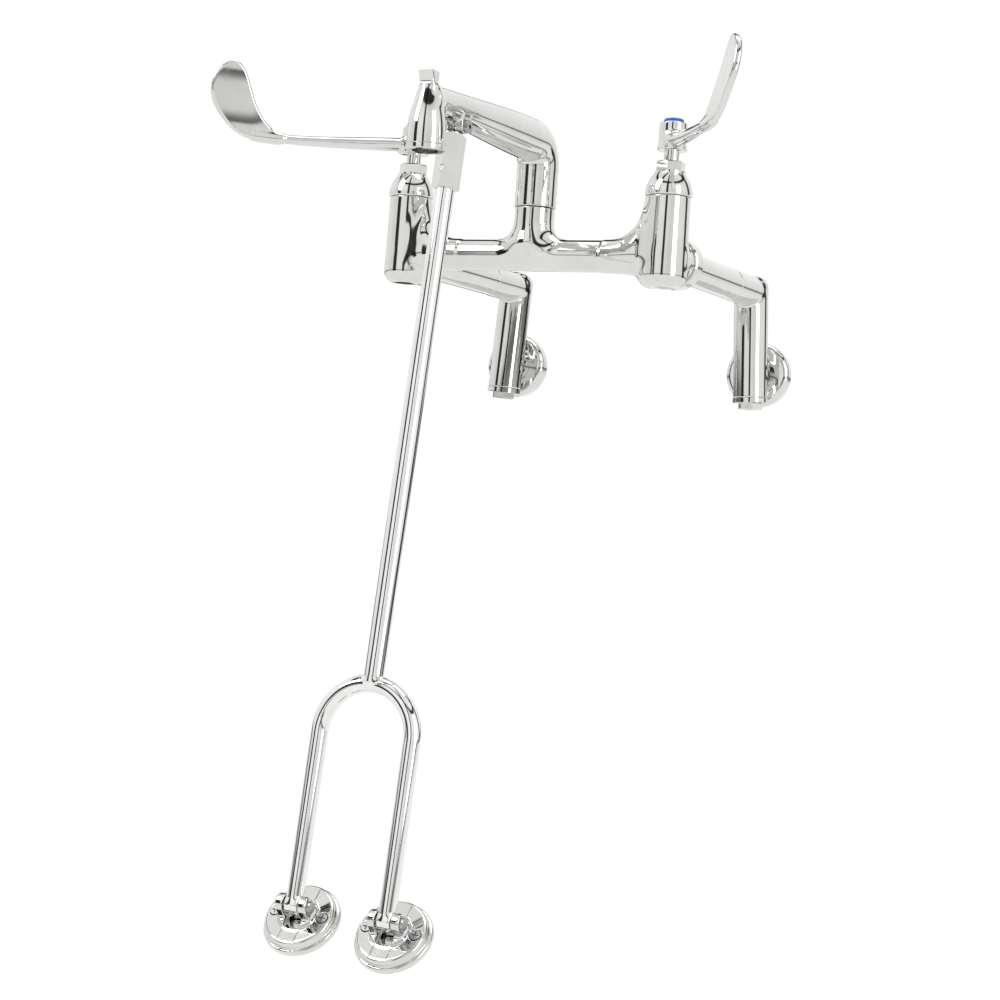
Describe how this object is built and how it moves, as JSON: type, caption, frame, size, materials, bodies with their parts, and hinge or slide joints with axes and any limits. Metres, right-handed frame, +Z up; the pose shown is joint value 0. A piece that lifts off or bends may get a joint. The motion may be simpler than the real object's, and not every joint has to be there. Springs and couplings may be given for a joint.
{
  "type": "wall mounted faucet",
  "caption": "Wall-mounted commercial sink faucet: lever handles, side arms with integral stops, rigid spout with pail hook and a forked brace down to the wall.",
  "frame": {"origin": "midpoint between the two wall inlets, on the finished wall plane", "axes": "+X to the right seen from the front, +Y into the wall, +Z up"},
  "size_m": [0.4071, 0.433, 0.5938],
  "materials": {
    "chrome": "polished chrome on brass",
    "brass": "turned",
    "steel": "machined stainless steel",
    "rubber": "matt",
    "disc": "lapped ceramic",
    "plastic": "moulded acetal",
    "index_red": "moulded",
    "index_blue": "moulded"
  },
  "bodies": {
    "faucet_body": {"valve_body": "chrome", "spout": "chrome", "spout_o_rings": "rubber", "spout_lock_screw": "steel", "outlet_ring": "chrome", "flow_straightener": "plastic", "pivot_screw": "chrome", "hot_bonnet": "chrome", "hot_packing": "rubber", "hot_packing_nut": "chrome", "hot_seat_washer": "rubber", "hot_cartridge_sleeve": "brass", "hot_fixed_disc": "disc", "hot_union_nut": "chrome", "hot_union_washer": "rubber", "cold_bonnet": "chrome", "cold_packing": "rubber", "cold_packing_nut": "chrome", "cold_seat_washer": "rubber", "cold_cartridge_sleeve": "brass", "cold_fixed_disc": "disc", "cold_union_nut": "chrome", "cold_union_washer": "rubber"},
    "hot_lever": {"hot_handle": "chrome", "hot_handle_screw": "steel", "hot_index_button": "index_red", "hot_stem": "brass", "hot_moving_disc": "disc"},
    "cold_lever": {"cold_handle": "chrome", "cold_handle_screw": "steel", "cold_index_button": "index_blue", "cold_stem": "brass", "cold_moving_disc": "disc"},
    "hot_arm": {"hot_inlet_arm": "chrome", "hot_stop_body": "chrome", "hot_stop_cap": "chrome", "hot_wall_flange": "chrome"},
    "cold_arm": {"cold_inlet_arm": "chrome", "cold_stop_body": "chrome", "cold_stop_cap": "chrome", "cold_wall_flange": "chrome"},
    "hot_stop": {"hot_stop_plug": "brass", "hot_stop_o_ring": "rubber"},
    "cold_stop": {"cold_stop_plug": "brass", "cold_stop_o_ring": "rubber"},
    "brace_head": {"brace_stud": "chrome", "brace_coupling": "chrome", "brace_set_screw": "steel"},
    "brace_leg": {"brace_rod": "chrome", "brace_fork": "chrome"},
    "left_foot": {"left_foot_flange": "chrome", "left_hinge_pin": "steel", "left_foot_screws": "steel"},
    "right_foot": {"right_foot_flange": "chrome", "right_hinge_pin": "steel", "right_foot_screws": "steel"}
  },
  "joints": [
    {"name": "hot_handle_turn", "type": "hinge", "parent": "faucet_body", "child": "hot_lever", "pos_m": [-0.1016, -0.212, 0.14439], "axis": [0, 0, 1], "range_deg": [-44, 46]},
    {"name": "cold_handle_turn", "type": "hinge", "parent": "faucet_body", "child": "cold_lever", "pos_m": [0.1016, -0.212, 0.14439], "axis": [0, 0, 1], "range_deg": [-36.5, 53.5]},
    {"name": "hot_arm_swivel", "type": "hinge", "parent": "faucet_body", "child": "hot_arm", "pos_m": [-0.1016, -0.212, 0.06269], "axis": [0, 1, 0], "range_deg": [-12, 12]},
    {"name": "hot_stop_turn", "type": "hinge", "parent": "hot_arm", "child": "hot_stop", "pos_m": [-0.1016, -0.0235, 0.06269], "axis": [-0.0593, 0, -0.9982], "range_deg": [0, 90]},
    {"name": "cold_arm_swivel", "type": "hinge", "parent": "faucet_body", "child": "cold_arm", "pos_m": [0.1016, -0.212, 0.06269], "axis": [0, 1, 0], "range_deg": [-12, 12]},
    {"name": "cold_stop_turn", "type": "hinge", "parent": "cold_arm", "child": "cold_stop", "pos_m": [0.1016, -0.0235, 0.06269], "axis": [0.0593, 0, -0.9982], "range_deg": [0, 90]},
    {"name": "brace_pivot", "type": "hinge", "parent": "faucet_body", "child": "brace_head", "pos_m": [0, -0.344, 0.13039], "axis": [1, 0, 0], "range_deg": [-6, 48.6]},
    {"name": "brace_slide", "type": "slide", "parent": "brace_head", "child": "brace_leg", "axis": [0, -0.1554, -0.9879], "range_m": [-0.007, 0.012]},
    {"name": "left_foot_tilt", "type": "hinge", "parent": "brace_leg", "child": "left_foot", "pos_m": [-0.03315, -0.4231, -0.37243], "axis": [1, 0, 0], "range_deg": [-25, 25]},
    {"name": "right_foot_tilt", "type": "hinge", "parent": "brace_leg", "child": "right_foot", "pos_m": [0.03315, -0.4231, -0.37243], "axis": [1, 0, 0], "range_deg": [-25, 25]}
  ]
}
